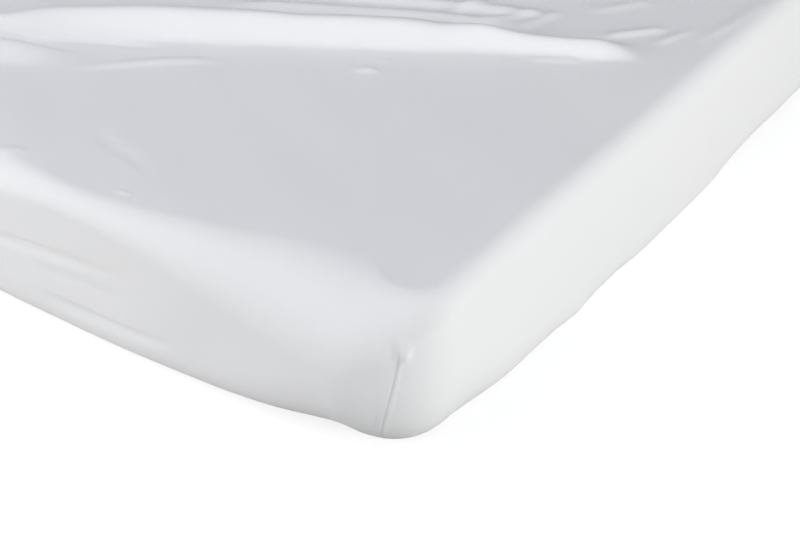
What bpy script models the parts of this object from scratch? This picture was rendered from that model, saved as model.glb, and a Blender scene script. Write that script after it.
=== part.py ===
"""Fitted sheet of white jersey on a plain single mattress, metres, +Z up.

The sheet is one cut of cloth: a top panel with skirts that turn down the sides, are sewn
together at the four corners, and tuck flat under the mattress to an open hem. The mattress
inside it is a plain soft-edged block. The origin is at the bottom centre, on the surface that
the tucked hem lies on. The foot of the bed faces -Y, and the long sides face +X and -X.

Both pieces are made the same way: a grid primitive becomes the top panel, and its rim is
extruded row by row down the side and under. Every point is then placed by `Block.point`,
and the sheet's points also rise on its folds.
"""

from collections import namedtuple
from math import atan2, cos, hypot, pi, radians, sin

import bmesh
import bpy
from mathutils import Vector

# ---- driving sizes -----------------------------------------------------------------------
MATTRESS_WIDTH = 0.900
MATTRESS_LENGTH = 2.000
MATTRESS_HEIGHT = 0.180
CLOTH = 0.002  # thickness of the sheet
EASE = 0.002  # air between the cloth and the mattress
TUCK = 0.110  # how far the sheet reaches in under the mattress
HEM_CORNER = 0.060  # radius of the hem's opening at its corners

# ---- soft edges of the sheet's outer face -------------------------------------------------
CORNER_RADIUS = 0.094  # in plan, at each of the four corners
TOP_EDGE = 0.026  # rounding of the top edge along the sides
TOP_EDGE_AT_CORNER = 0.080  # the same where an end meets a corner, which the cloth pulls down
BOTTOM_EDGE = 0.011
BOTTOM_EDGE_AT_CORNER = 0.045
SOFTENS_OVER_FOOT = 0.250  # how far from a corner the foot edge is still rounder
SOFTENS_OVER_SIDE = 0.120
HEM_WAVE = 0.0035  # unevenness of the turn under the long sides
HEM_WAVE_PITCH = 0.145

# ---- grid ---------------------------------------------------------------------------------
CORNER_CELLS = 3
SOFT_CELL = 0.036  # cell size along the edges that soften towards a corner
CLOTH_CELL = 0.027  # cell size where the sheet is folded
PLAIN_CELL = 0.135  # cell size where it lies flat
FOLDED_LENGTH = 0.80  # from the foot, the part of the sheet that carries the folds
MATTRESS_CELL = 0.30

# ---- folds --------------------------------------------------------------------------------
# A fold's line is its crest. On the top its places are (in from the +X side, in from the
# foot), and on the foot skirt they are (in from the +X side, height). front and back are the
# widths of its two slopes, front being the one that faces the foot or the floor. fade_in and
# fade_out are the shares of its length over which it rises and dies away.
Fold = namedtuple("Fold", "name line height front back fade_in fade_out")
RIDGE_CREST = [(0.810, 0.200), (0.738, 0.290), (0.647, 0.364), (0.473, 0.455), (0.276, 0.568), (0.085, 0.670)]
TOP_FOLDS = [
    Fold("main ridge", RIDGE_CREST, 0.031, 0.044, 0.070, 0.10, 0.50),
    Fold("left finger", [(0.790, 0.180), (0.705, 0.245), (0.610, 0.300)], 0.013, 0.034, 0.040, 0.20, 0.50),
    Fold("low ridge", [(0.641, 0.216), (0.563, 0.303), (0.514, 0.350)], 0.004, 0.030, 0.035, 0.30, 0.30),
    Fold("behind ridge", [(0.620, 0.500), (0.425, 0.590), (0.228, 0.690)], 0.010, 0.032, 0.040, 0.30, 0.30),
]
FOOT_FOLDS = [
    Fold("upper drag", [(0.700, 0.110), (0.300, 0.135)], 0.0035, 0.020, 0.030, 0.20, 0.20),
    Fold("middle drag", [(0.620, 0.065), (0.330, 0.085)], 0.0030, 0.018, 0.025, 0.20, 0.20),
    Fold("lower drag", [(0.560, 0.028), (0.290, 0.040)], 0.0030, 0.016, 0.022, 0.20, 0.20),
]

# Rows of the extruded rim, from the top tangent to the hem.
EDGE_STEPS = 3
SKIRT_STEPS = 3
TUCK_STEPS = 2

WHITE_CLOTH = (0.86, 0.87, 0.88, 1.0)
MATTRESS_COVER = (0.80, 0.79, 0.76, 1.0)


def smooth(t):
    """0 below 0, 1 above 1, and a smooth step between them."""
    t = min(1.0, max(0.0, t))
    return t * t * (3 - 2 * t)


def graded(stops):
    """Grid lines through the stops, a list of (place, cells up to it) from the first place."""
    lines = [stops[0][0]]
    for place, cells in stops[1:]:
        step = (place - lines[-1]) / cells
        start = lines[-1]
        lines += [start + step * (k + 1) for k in range(cells)]
    return lines


class Block:
    """A soft-edged block, drawn in from the sheet's outer face by `inset`."""

    def __init__(self, inset):
        cover = CLOTH + EASE
        self.half_x = MATTRESS_WIDTH / 2 + cover - inset
        self.half_y = MATTRESS_LENGTH / 2 + cover - inset
        self.low = inset
        self.high = MATTRESS_HEIGHT + 2 * cover - inset
        self.corner = CORNER_RADIUS - inset
        self.inset = inset

    def core(self):
        """Half sizes of the rectangle that joins the centres of the corner arcs."""
        return self.half_x - self.corner, self.half_y - self.corner

    def around(self, place):
        """Core point, outward direction and share of the way out, of a place on the grid.

        In a corner the square of the grid becomes a quarter disc: its rings are arcs.
        """
        core_x, core_y = self.core()
        x = min(core_x, max(-core_x, place.x))
        y = min(core_y, max(-core_y, place.y))
        out_x, out_y = abs(place.x - x), abs(place.y - y)
        reach = max(out_x, out_y)
        if reach < 1e-9:
            return Vector((x, y)), Vector((0, 0)), 0.0
        if out_x >= out_y:
            turn = (out_y / out_x) * pi / 4
        else:
            turn = pi / 2 - (out_x / out_y) * pi / 4
        side_x = 1 if place.x > 0 else -1
        side_y = 1 if place.y > 0 else -1
        out = Vector((side_x * cos(turn), side_y * sin(turn)))
        return Vector((x, y)), out, reach / self.corner

    def edges(self, core, out):
        """Rounding of the top and of the bottom edge at this place of the outline.

        The top's rounding grows along the ends and falls back across the corner's arc.
        """
        core_x, core_y = self.core()
        to_corner = hypot(core_x - abs(core.x), core_y - abs(core.y))
        on_foot = abs(out.y) > abs(out.x)
        reach = SOFTENS_OVER_FOOT if on_foot else SOFTENS_OVER_SIDE
        soft = max(0.0, 1 - to_corner / reach)
        to_end = atan2(abs(out.y), abs(out.x)) / radians(90)
        top = TOP_EDGE + (TOP_EDGE_AT_CORNER - TOP_EDGE) * soft * smooth(to_end)
        bottom = BOTTOM_EDGE + (BOTTOM_EDGE_AT_CORNER - BOTTOM_EDGE) * soft
        if not on_foot:
            wave = 1.0 if self.inset else sin(2 * pi * core.y / HEM_WAVE_PITCH)
            bottom += HEM_WAVE * (1 - soft) * wave
        return top - self.inset, bottom - self.inset

    def hem(self, core, out):
        """The point of the hem's opening that lies under this place of the outline."""
        core_x, core_y = self.core()
        hem_x = self.half_x - TUCK - HEM_CORNER
        hem_y = self.half_y - TUCK - HEM_CORNER
        centre = Vector((core.x * hem_x / core_x, core.y * hem_y / core_y))
        return centre + out * HEM_CORNER

    def point(self, place, row):
        """Where a grid place comes to lie in rim row `row` (0 is the top panel)."""
        core, out, share = self.around(place)
        top, bottom = self.edges(core, out)
        if row == 0:
            across = core + out * share * (self.corner - top)
            return Vector((across.x, across.y, self.high)), Vector((0, 0, 1))
        side = Vector((out.x, out.y, 0))
        if row <= EDGE_STEPS:
            angle = radians(90) * row / EDGE_STEPS
            across = core + out * (self.corner - top * (1 - sin(angle)))
            normal = side * sin(angle) + Vector((0, 0, cos(angle)))
            return Vector((across.x, across.y, self.high - top * (1 - cos(angle)))), normal
        row -= EDGE_STEPS
        if row <= SKIRT_STEPS:
            drop = self.high - top - (self.high - top - self.low - bottom) * row / SKIRT_STEPS
            across = core + out * self.corner
            return Vector((across.x, across.y, drop)), side
        row -= SKIRT_STEPS
        turned = core + out * (self.corner - bottom)
        if row <= EDGE_STEPS:
            angle = radians(90) * row / EDGE_STEPS
            across = core + out * (self.corner - bottom * (1 - cos(angle)))
            lift = self.low + bottom * (1 - sin(angle))
            return Vector((across.x, across.y, lift)), side * cos(angle)
        row -= EDGE_STEPS
        across = turned.lerp(self.hem(core, out), row / TUCK_STEPS)
        return Vector((across.x, across.y, self.low)), Vector((0, 0, 0))


def place_by_line(line, place):
    """Share of the way along a fold's line, and how far behind the line, of a place."""
    points = [Vector(point) for point in line]
    runs = list(zip(points, points[1:]))
    length = sum((end - start).length for start, end in runs)
    nearest, passed = None, 0.0
    for start, end in runs:
        run = end - start
        offset = Vector(place) - start
        share = min(1.0, max(0.0, offset.dot(run) / run.length_squared))
        away = (offset - run * share).length
        back_side = Vector((-run.y, run.x))
        if back_side.y < 0:
            back_side.negate()
        if nearest is None or away < abs(nearest[1]):
            signed = away if offset.dot(back_side) > 0 else -away
            nearest = ((passed + share * run.length) / length, signed)
        passed += run.length
    return nearest


def fold_height(fold, place):
    """How far the cloth stands off its block on this fold, at a place on its panel."""
    share, away = place_by_line(fold.line, place)
    width = fold.back if away > 0 else fold.front
    if abs(away) >= width:
        return 0.0
    fade = smooth(share / fold.fade_in) * smooth((1 - share) / fold.fade_out)
    return fold.height * fade * (1 + cos(pi * away / width)) / 2


def folded(block, point, normal):
    """The sheet's point, lifted off the block by the highest fold that it lies on."""
    from_side = block.half_x - point.x
    from_foot = point.y + block.half_y
    if normal.z > 0.5:
        rise = [fold_height(fold, (from_side, from_foot)) for fold in TOP_FOLDS]
        return point + Vector((0, 0, max(rise)))
    if normal.y < -0.9:
        rise = [fold_height(fold, (from_side, point.z)) for fold in FOOT_FOLDS]
        return point + normal * max(rise)
    return point


def grid_lines(block, middle_x, middle_y):
    """Grid lines of a block: closer over its corners and the edges beside them.

    middle_x and middle_y are the stops between the softened ends, as (place, cells).
    """
    core_x, core_y = block.core()
    soft_x = round(SOFTENS_OVER_FOOT / SOFT_CELL)
    soft_y = round(SOFTENS_OVER_SIDE / SOFT_CELL)
    across = [(-block.half_x, 0), (-core_x, CORNER_CELLS), (SOFTENS_OVER_FOOT - core_x, soft_x)]
    across += middle_x
    across += [(core_x, soft_x), (block.half_x, CORNER_CELLS)]
    along = [(-block.half_y, 0), (-core_y, CORNER_CELLS), (SOFTENS_OVER_SIDE - core_y, soft_y)]
    along += middle_y
    along += [(core_y, soft_y), (block.half_y, CORNER_CELLS)]
    return graded(across), graded(along)


def cloth_lines(block):
    """Grid lines of the sheet: fine where it is folded, wide where it lies flat."""
    core_x, core_y = block.core()
    plain_x, plain_y = core_x - SOFTENS_OVER_FOOT, core_y - SOFTENS_OVER_SIDE
    folds_end = FOLDED_LENGTH - block.half_y
    middle_x = [(plain_x, round(2 * plain_x / CLOTH_CELL))]
    middle_y = [
        (folds_end, round((folds_end + plain_y) / CLOTH_CELL)),
        (plain_y, round((plain_y - folds_end) / PLAIN_CELL)),
    ]
    return grid_lines(block, middle_x, middle_y)


def mattress_lines(block):
    """Grid lines of the mattress, which is plain between its softened ends."""
    core_x, core_y = block.core()
    plain_x, plain_y = core_x - SOFTENS_OVER_FOOT, core_y - SOFTENS_OVER_SIDE
    middle_x = [(plain_x, 1)]
    middle_y = [(plain_y, round(2 * plain_y / MATTRESS_CELL))]
    return grid_lines(block, middle_x, middle_y)


def panel_with_rim(lines_x, lines_y, rows):
    """A grid primitive whose rim is extruded `rows` times.

    Each vertex keeps its place on the grid and its rim row in its two layers.
    """
    mesh = bmesh.new()
    cells_x, cells_y = len(lines_x) - 1, len(lines_y) - 1
    bmesh.ops.create_grid(mesh, x_segments=cells_x, y_segments=cells_y, size=1)
    place = mesh.verts.layers.float_vector.new("place")
    row_of = mesh.verts.layers.int.new("row")
    for vert in mesh.verts:
        i = round((vert.co.x + 1) / 2 * cells_x)
        j = round((vert.co.y + 1) / 2 * cells_y)
        vert[place] = Vector((lines_x[i], lines_y[j], 0))
    rim = [edge for edge in mesh.edges if edge.is_boundary]
    for row in range(1, rows + 1):
        made = bmesh.ops.extrude_edge_only(mesh, edges=rim)["geom"]
        rim = [item for item in made if isinstance(item, bmesh.types.BMEdge)]
        for vert in made:
            if isinstance(vert, bmesh.types.BMVert):
                vert[row_of] = row
        rim = [edge for edge in rim if edge.is_boundary]
    return mesh, place, row_of


def make_object(name, mesh, material, collection):
    """Links a bmesh as a named, smooth-shaded object with its material."""
    data = bpy.data.meshes.new(name)
    mesh.to_mesh(data)
    mesh.free()
    data.shade_smooth()
    data.materials.append(material)
    made = bpy.data.objects.new(name, data)
    collection.objects.link(made)
    return made


def make_material(name, colour, roughness):
    """A plain Principled BSDF."""
    material = bpy.data.materials.new(name)
    material.use_nodes = True
    shader = material.node_tree.nodes["Principled BSDF"]
    shader.inputs["Base Color"].default_value = colour
    shader.inputs["Roughness"].default_value = roughness
    shader.inputs["Metallic"].default_value = 0.0
    return material


def make_sheet(collection):
    """The fitted sheet: panel, skirts and tucked hem in one cloth of even thickness."""
    block = Block(0.0)
    rows = EDGE_STEPS + SKIRT_STEPS + EDGE_STEPS + TUCK_STEPS
    mesh, place, row_of = panel_with_rim(*cloth_lines(block), rows)
    for vert in mesh.verts:
        point, normal = block.point(vert[place], vert[row_of])
        vert.co = folded(block, point, normal)
    sheet = make_object("fitted_sheet", mesh, make_material("jersey", WHITE_CLOTH, 0.8), collection)
    cloth = sheet.modifiers.new("cloth thickness", "SOLIDIFY")
    cloth.thickness = CLOTH
    cloth.offset = -1
    return sheet


def make_mattress(collection):
    """The plain mattress: the same soft block, drawn in under the cloth and closed below."""
    block = Block(CLOTH + EASE)
    rows = EDGE_STEPS + SKIRT_STEPS + EDGE_STEPS
    mesh, place, row_of = panel_with_rim(*mattress_lines(block), rows)
    for vert in mesh.verts:
        vert.co = block.point(vert[place], vert[row_of])[0]
    opening = [edge for edge in mesh.edges if edge.is_boundary]
    bmesh.ops.contextual_create(mesh, geom=opening)
    bmesh.ops.recalc_face_normals(mesh, faces=mesh.faces)
    return make_object("mattress", mesh, make_material("cover", MATTRESS_COVER, 0.9), collection)


def main():
    """Clears the scene and builds both pieces in one collection."""
    for old in list(bpy.data.objects):
        bpy.data.objects.remove(old)
    collection = bpy.data.collections.new("fitted sheet on a mattress")
    bpy.context.scene.collection.children.link(collection)
    make_sheet(collection)
    make_mattress(collection)


main()
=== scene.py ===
"""The looks of a white jersey fitted sheet, stretched over a plain single mattress.

The sheet is one surface with two parameters: a grid for its top panel, and rows round the
panel's rim for its skirts, their turn under the mattress and the tucked hem. Folds, creases
and corner seams are heights off that surface, worked out for all its points at once. Sizes
are in metres. The foot of the bed faces -Y, and the corner that is seen best is at +X, -Y.
"""

from __future__ import annotations

import logging
from dataclasses import dataclass, replace
from enum import Enum

import bpy
import numpy as np
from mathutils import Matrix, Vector


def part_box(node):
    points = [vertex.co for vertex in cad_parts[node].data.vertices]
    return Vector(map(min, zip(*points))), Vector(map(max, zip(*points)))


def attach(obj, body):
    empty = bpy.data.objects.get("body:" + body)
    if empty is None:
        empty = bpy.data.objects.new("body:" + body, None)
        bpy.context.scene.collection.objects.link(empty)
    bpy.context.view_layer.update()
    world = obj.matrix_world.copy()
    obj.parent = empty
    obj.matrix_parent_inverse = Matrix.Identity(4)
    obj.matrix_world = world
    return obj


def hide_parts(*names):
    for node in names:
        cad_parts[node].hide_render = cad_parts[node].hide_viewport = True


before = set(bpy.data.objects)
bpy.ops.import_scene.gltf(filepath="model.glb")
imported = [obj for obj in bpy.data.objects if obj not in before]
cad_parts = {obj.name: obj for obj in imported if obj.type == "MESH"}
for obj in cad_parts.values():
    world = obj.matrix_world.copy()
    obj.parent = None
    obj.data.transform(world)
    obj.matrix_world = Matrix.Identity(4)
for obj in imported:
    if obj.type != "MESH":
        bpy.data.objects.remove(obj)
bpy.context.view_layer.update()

LOG = logging.getLogger("fitted_sheet")
BODY = "root"
CLOTH_MAP = "cloth"
QUARTER = np.pi / 2


# ---- choices -----------------------------------------------------------------------------
class Panel(Enum):
    """The part of the sheet that a fold lies on, with the box axes its places are read from."""

    TOP = "in from the +X side, in from the foot"
    FOOT = "in from the +X side, height"


class Hold(Enum):
    """How the cloth is held, in the words that the frame knows."""

    STRETCHED = "stretched"


class Slot(Enum):
    """Material slots of the record."""

    JERSEY = "jersey"
    COVER = "mattress_cover"


# ---- small curves --------------------------------------------------------------------------
def smooth_step(t: np.ndarray) -> np.ndarray:
    """0 below 0, 1 above 1, and the cubic 3t^2 - 2t^3 between them."""
    t = np.clip(t, 0.0, 1.0)
    return t * t * (3.0 - 2.0 * t)


def bell(t: np.ndarray) -> np.ndarray:
    """A soft bump: e to the power of minus t squared."""
    return np.exp(-np.square(t))


def smooth_path(points: tuple[tuple[float, float], ...], per_run: int = 8) -> np.ndarray:
    """A smooth curve through a few points.

    Catmull-Rom: between two points the curve is a cubic whose slope at each is half the
    step from the point before it to the point after it.

    Args:
        points: the places it goes through.
        per_run: how many pieces each run between two points is cut into.

    Returns:
        Its points, one row each.
    """
    knots = np.array(points, float)
    knots = np.vstack([2 * knots[0] - knots[1], knots, 2 * knots[-1] - knots[-2]])
    t = np.linspace(0, 1, per_run, endpoint=False)[None, :, None]
    a, b, c, d = (knots[k : len(knots) - 3 + k, None, :] for k in range(4))
    curve = 0.5 * (2 * b + (c - a) * t + (2 * a - 5 * b + 4 * c - d) * t**2 + (3 * b - a - 3 * c + d) * t**3)
    return np.vstack([curve.reshape(-1, 2), knots[-2]])


def graded_lines(stops: tuple[tuple[float, int], ...]) -> np.ndarray:
    """Grid lines through given places.

    Args:
        stops: (place, cells up to it), from the first place on.

    Returns:
        The place of each line.
    """
    runs = [np.array([stops[0][0]])]
    for (start, _), (end, cells) in zip(stops, stops[1:]):
        runs.append(np.linspace(start, end, cells + 1)[1:])
    return np.concatenate(runs)


@dataclass(frozen=True)
class Closing:
    """Grid lines that close up towards an edge.

    Each cell is the same share of the one before it.

    Attributes:
        cells: how many there are.
        last_share: the last cell's size as a share of the first's.
    """

    cells: int
    last_share: float

    def lines(self, start: float, end: float) -> np.ndarray:
        """Places of the lines from start, which is left out, to end."""
        sizes = np.geomspace(1.0, self.last_share, self.cells)
        return start + (end - start) * np.cumsum(sizes) / sizes.sum()


# ---- folds ---------------------------------------------------------------------------------
@dataclass(frozen=True)
class Fold:
    """One fold or crease in the sheet.

    Attributes:
        name: what it is.
        panel: the part of the sheet that it lies on, which says what its places mean.
        line: the places that its crest or crease goes through.
        height: how far it stands off the cloth round it; a crease is below 0.
        front: width of its slope that faces the foot or the floor.
        back: width of the other slope.
        fade_in: share of its length over which it rises at its first end.
        fade_out: share over which it dies away at its last end.
        fullness: power of the front slope's distance. 1 is an even wave, more is fuller.
    """

    name: str
    panel: Panel
    line: tuple[tuple[float, float], ...]
    height: float
    front: float
    back: float
    fade_in: float = 0.25
    fade_out: float = 0.25
    fullness: float = 1.0

    def rise(self, where: np.ndarray) -> np.ndarray:
        """How far this fold lifts the cloth at many places.

        Each place finds the nearest run of the fold's line. Its height is the fold's height,
        times a fade by its share along the line, times the squared cosine of its distance
        from the line. The distance is a part of the slope's width, to the power of its
        fullness.

        Args:
            where: places on the fold's panel, one row each.

        Returns:
            The height at each place.
        """
        path = smooth_path(self.line)
        reach = max(self.front, self.back)
        low, high = path.min(axis=0) - reach, path.max(axis=0) + reach
        near = np.flatnonzero(np.all((where > low) & (where < high), axis=1))
        share, away = self._by_line(path, where[near])
        width = np.where(away > 0, self.back, self.front)
        power = np.where(away > 0, 1.0, self.fullness)
        slope = np.square(np.cos(QUARTER * np.clip(np.abs(away) / width, 0, 1) ** power))
        fade = smooth_step(share / self.fade_in) * smooth_step((1 - share) / self.fade_out)
        lifted = np.zeros(len(where))
        lifted[near] = self.height * slope * fade
        return lifted

    @staticmethod
    def _by_line(path: np.ndarray, where: np.ndarray) -> tuple[np.ndarray, np.ndarray]:
        """Finds places by the nearest run of a path. The loop is over the path's runs.

        Args:
            path: the path's points.
            where: the places, one row each.

        Returns:
            Each place's share of the way along the path, and its distance from it, which is
            positive behind the path, on the side of the larger second number.
        """
        runs = np.diff(path, axis=0)
        lengths = np.linalg.norm(runs, axis=1)
        passed = np.concatenate([[0.0], np.cumsum(lengths)])
        share, away = np.zeros(len(where)), np.full(len(where), np.inf)
        for start, run, length, before in zip(path, runs, lengths, passed):
            offset = where - start
            t = np.clip(offset @ run / length**2, 0, 1)
            distance = np.linalg.norm(offset - t[:, None] * run, axis=1)
            behind = (run[0] * offset[:, 1] - run[1] * offset[:, 0]) * (1 if run[0] > 0 else -1)
            nearer = distance < np.abs(away)
            away = np.where(nearer, np.copysign(distance, behind), away)
            share = np.where(nearer, (before + t * length) / passed[-1], share)
        return share, away


# After its line, each fold's numbers are its height, front, back, fade in, fade out and fullness.
TOP_FOLDS = (
    Fold(
        "main ridge", Panel.TOP,
        ((0.860, 0.150), (0.785, 0.238), (0.738, 0.294), (0.647, 0.362), (0.546, 0.418), (0.473, 0.458)),
        0.031, 0.039, 0.070, 0.05, 0.30,
    ),
    Fold(
        "middle of the ridge", Panel.TOP,
        ((0.600, 0.390), (0.473, 0.458), (0.363, 0.518), (0.276, 0.568), (0.210, 0.600)),
        0.029, 0.033, 0.060, 0.30, 0.40,
    ),
    Fold(
        "end of the ridge", Panel.TOP,
        ((0.330, 0.535), (0.260, 0.573), (0.181, 0.605), (0.138, 0.628), (0.088, 0.660)),
        0.018, 0.023, 0.040, 0.30, 0.24,
    ),
    Fold(
        "left finger", Panel.TOP,
        ((0.850, 0.120), (0.771, 0.205), (0.735, 0.228), (0.700, 0.245), (0.664, 0.262)),
        0.014, 0.048, 0.020, 0.20, 0.45,
    ),
    Fold(
        "crease behind the finger", Panel.TOP,
        ((0.820, 0.170), (0.771, 0.213), (0.735, 0.236), (0.700, 0.252), (0.668, 0.266)),
        -0.006, 0.009, 0.009, 0.15, 0.30,
    ),
    Fold(
        "crease across the ridge's face", Panel.TOP,
        ((0.800, 0.205), (0.757, 0.240), (0.717, 0.271), (0.674, 0.297), (0.639, 0.310), (0.590, 0.332)),
        -0.0045, 0.007, 0.010, 0.15, 0.30,
    ),
    Fold(
        "low ridge", Panel.TOP,
        ((0.655, 0.212), (0.620, 0.252), (0.590, 0.283), (0.555, 0.312), (0.500, 0.352)),
        0.0032, 0.011, 0.016, 0.30, 0.30,
    ),
    Fold(
        "first fold behind", Panel.TOP,
        ((0.640, 0.462), (0.530, 0.520), (0.420, 0.572), (0.330, 0.612), (0.245, 0.655)),
        0.0075, 0.018, 0.022, 0.25, 0.25, 1.1,
    ),
    Fold(
        "second fold behind", Panel.TOP,
        ((0.560, 0.560), (0.440, 0.612), (0.340, 0.655), (0.228, 0.700)),
        0.0055, 0.016, 0.020, 0.25, 0.25, 1.1,
    ),
    Fold(
        "third fold behind", Panel.TOP,
        ((0.450, 0.680), (0.360, 0.705), (0.270, 0.740)),
        0.0040, 0.015, 0.020, 0.30, 0.30, 1.1,
    ),
    Fold(
        "upper fork", Panel.TOP,
        ((0.160, 0.668), (0.122, 0.711), (0.092, 0.752)),
        0.0042, 0.011, 0.014, 0.30, 0.35, 1.1,
    ),
    Fold(
        "lower fork", Panel.TOP,
        ((0.094, 0.684), (0.084, 0.716), (0.066, 0.765)),
        0.0022, 0.010, 0.012, 0.30, 0.35,
    ),
    Fold(
        "diagonal to the edge", Panel.TOP,
        ((0.056, 0.720), (0.040, 0.790), (0.033, 0.850), (0.031, 0.914)),
        0.0014, 0.014, 0.016, 0.30, 0.30,
    ),
    Fold(
        "thin fold before the ridge", Panel.TOP,
        ((0.205, 0.560), (0.170, 0.580), (0.136, 0.598)),
        0.003, 0.008, 0.012, 0.30, 0.30,
    ),
    Fold(
        "small pucker", Panel.TOP,
        ((0.362, 0.414), (0.349, 0.425), (0.334, 0.431)),
        0.0035, 0.008, 0.010, 0.35, 0.35,
    ),
    Fold(
        "smaller pucker", Panel.TOP,
        ((0.360, 0.453), (0.350, 0.457), (0.339, 0.459)),
        0.0020, 0.006, 0.008, 0.35, 0.35,
    ),
    Fold(
        "mark near the foot edge", Panel.TOP,
        ((0.404, 0.040), (0.398, 0.043), (0.392, 0.045)),
        0.0017, 0.005, 0.007, 0.35, 0.35,
    ),
    Fold(
        "fine line near the foot edge", Panel.TOP,
        ((0.530, 0.126), (0.480, 0.108), (0.440, 0.098), (0.400, 0.084)),
        -0.0018, 0.006, 0.008, 0.30, 0.30,
    ),
    Fold(
        "mark at the far side", Panel.TOP,
        ((0.590, 0.024), (0.570, 0.036), (0.550, 0.050)),
        0.0022, 0.007, 0.010, 0.30, 0.30,
    ),
    Fold("fine wrinkle 1", Panel.TOP, ((0.370, 0.600), (0.345, 0.650), (0.315, 0.700)), 0.0035, 0.010, 0.013),
    Fold("fine wrinkle 2", Panel.TOP, ((0.312, 0.612), (0.285, 0.655), (0.255, 0.700)), 0.0035, 0.010, 0.013),
    Fold("fine wrinkle 3", Panel.TOP, ((0.258, 0.628), (0.248, 0.670), (0.235, 0.715)), 0.0030, 0.009, 0.012),
    Fold("fine wrinkle 4", Panel.TOP, ((0.205, 0.730), (0.180, 0.765), (0.150, 0.810)), 0.0025, 0.010, 0.013),
)

FOOT_FOLDS = (
    Fold(
        "upper drag crease", Panel.FOOT,
        ((0.640, 0.084), (0.561, 0.093), (0.500, 0.099), (0.457, 0.103), (0.400, 0.109), (0.345, 0.114)),
        -0.0034, 0.014, 0.0045, 0.20, 0.45,
    ),
    Fold(
        "middle drag crease", Panel.FOOT,
        ((0.540, 0.066), (0.494, 0.072), (0.450, 0.077), (0.400, 0.080), (0.330, 0.080)),
        -0.0010, 0.014, 0.008, 0.30, 0.45,
    ),
    Fold(
        "lower drag crease", Panel.FOOT,
        ((0.520, 0.036), (0.462, 0.036), (0.400, 0.037), (0.345, 0.041), (0.290, 0.050)),
        -0.0040, 0.014, 0.0045, 0.30, 0.40,
    ),
    Fold(
        "crease beside the seam", Panel.FOOT,
        ((0.052, 0.030), (0.050, 0.044), (0.049, 0.060)),
        -0.0016, 0.004, 0.005, 0.40, 0.40,
    ),
)


# ---- meshes ----------------------------------------------------------------------------------
def rim_loop(cells_x: int, cells_y: int) -> tuple[np.ndarray, np.ndarray]:
    """Grid indices round a grid's rim, anticlockwise from its lowest corner.

    The loop goes up x, up y, down x and down y, and leaves out each side's last point.

    Args:
        cells_x, cells_y: cells of the grid, each way.

    Returns:
        The indices along x and those along y.
    """
    up_x, up_y = np.arange(cells_x), np.arange(cells_y)
    down_x, down_y = np.arange(cells_x, 0, -1), np.arange(cells_y, 0, -1)
    across = np.concatenate([up_x, np.full(cells_y, cells_x), down_x, np.zeros(cells_y, int)])
    along = np.concatenate([np.zeros(cells_x, int), up_y, np.full(cells_x, cells_y), down_y])
    return across, along


def shares(count: int) -> np.ndarray:
    """Even steps from 1 / count to 1, as a column."""
    return np.arange(1, count + 1)[:, None] / max(count, 1)


def grid_quads(index: np.ndarray) -> np.ndarray:
    """Quads of a grid of vertex numbers, facing +Z where the grid's axes are +X and +Y."""
    corners = index[:-1, :-1], index[1:, :-1], index[1:, 1:], index[:-1, 1:]
    return np.stack([corner.ravel() for corner in corners], axis=1)


def ring_quads(rings: np.ndarray) -> np.ndarray:
    """Quads between closed rings of vertices, facing outwards.

    Args:
        rings: vertex numbers, one ring a row.

    Returns:
        Four vertex numbers for each quad.
    """
    ahead = np.roll(rings, -1, axis=1)
    corners = rings[:-1], rings[1:], ahead[1:], ahead[:-1]
    return np.stack([corner.ravel() for corner in corners], axis=1)


def numbered(cells_x: int, cells_y: int, rows: int, first: int) -> tuple[np.ndarray, np.ndarray]:
    """Numbers the vertices of a panel with a rim.

    Args:
        cells_x, cells_y: cells of the panel's grid, each way.
        rows: rows of cells of the rim.
        first: the first vertex's number.

    Returns:
        The grid's numbers, and the rings' from the grid's rim on, one ring a row.
    """
    grid = first + np.arange((cells_x + 1) * (cells_y + 1)).reshape(cells_x + 1, cells_y + 1)
    around = 2 * (cells_x + cells_y)
    rest = grid.size + first + np.arange(rows * around).reshape(rows, around)
    return grid, np.vstack([grid[rim_loop(cells_x, cells_y)], rest])


def mesh_object(name: str, points: np.ndarray, faces: list[list[int]], flat: np.ndarray) -> bpy.types.Object:
    """A smooth-shaded mesh object at the origin, with its flat places as its UV map.

    Args:
        name: the piece's name.
        points: its vertices.
        faces: vertex numbers of each face.
        flat: each vertex's place in the flat cloth, in metres.

    Returns:
        The object, linked to the scene.
    """
    mesh = bpy.data.meshes.new(name)
    mesh.from_pydata(points.tolist(), [], faces)
    corner_vertex = np.empty(len(mesh.loops), np.int32)
    mesh.loops.foreach_get("vertex_index", corner_vertex)
    mesh.uv_layers.new(name=CLOTH_MAP).data.foreach_set("uv", flat[corner_vertex].ravel())
    mesh.shade_smooth()
    mesh.update()
    piece = bpy.data.objects.new(name, mesh)
    bpy.context.scene.collection.objects.link(piece)
    return piece


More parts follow.
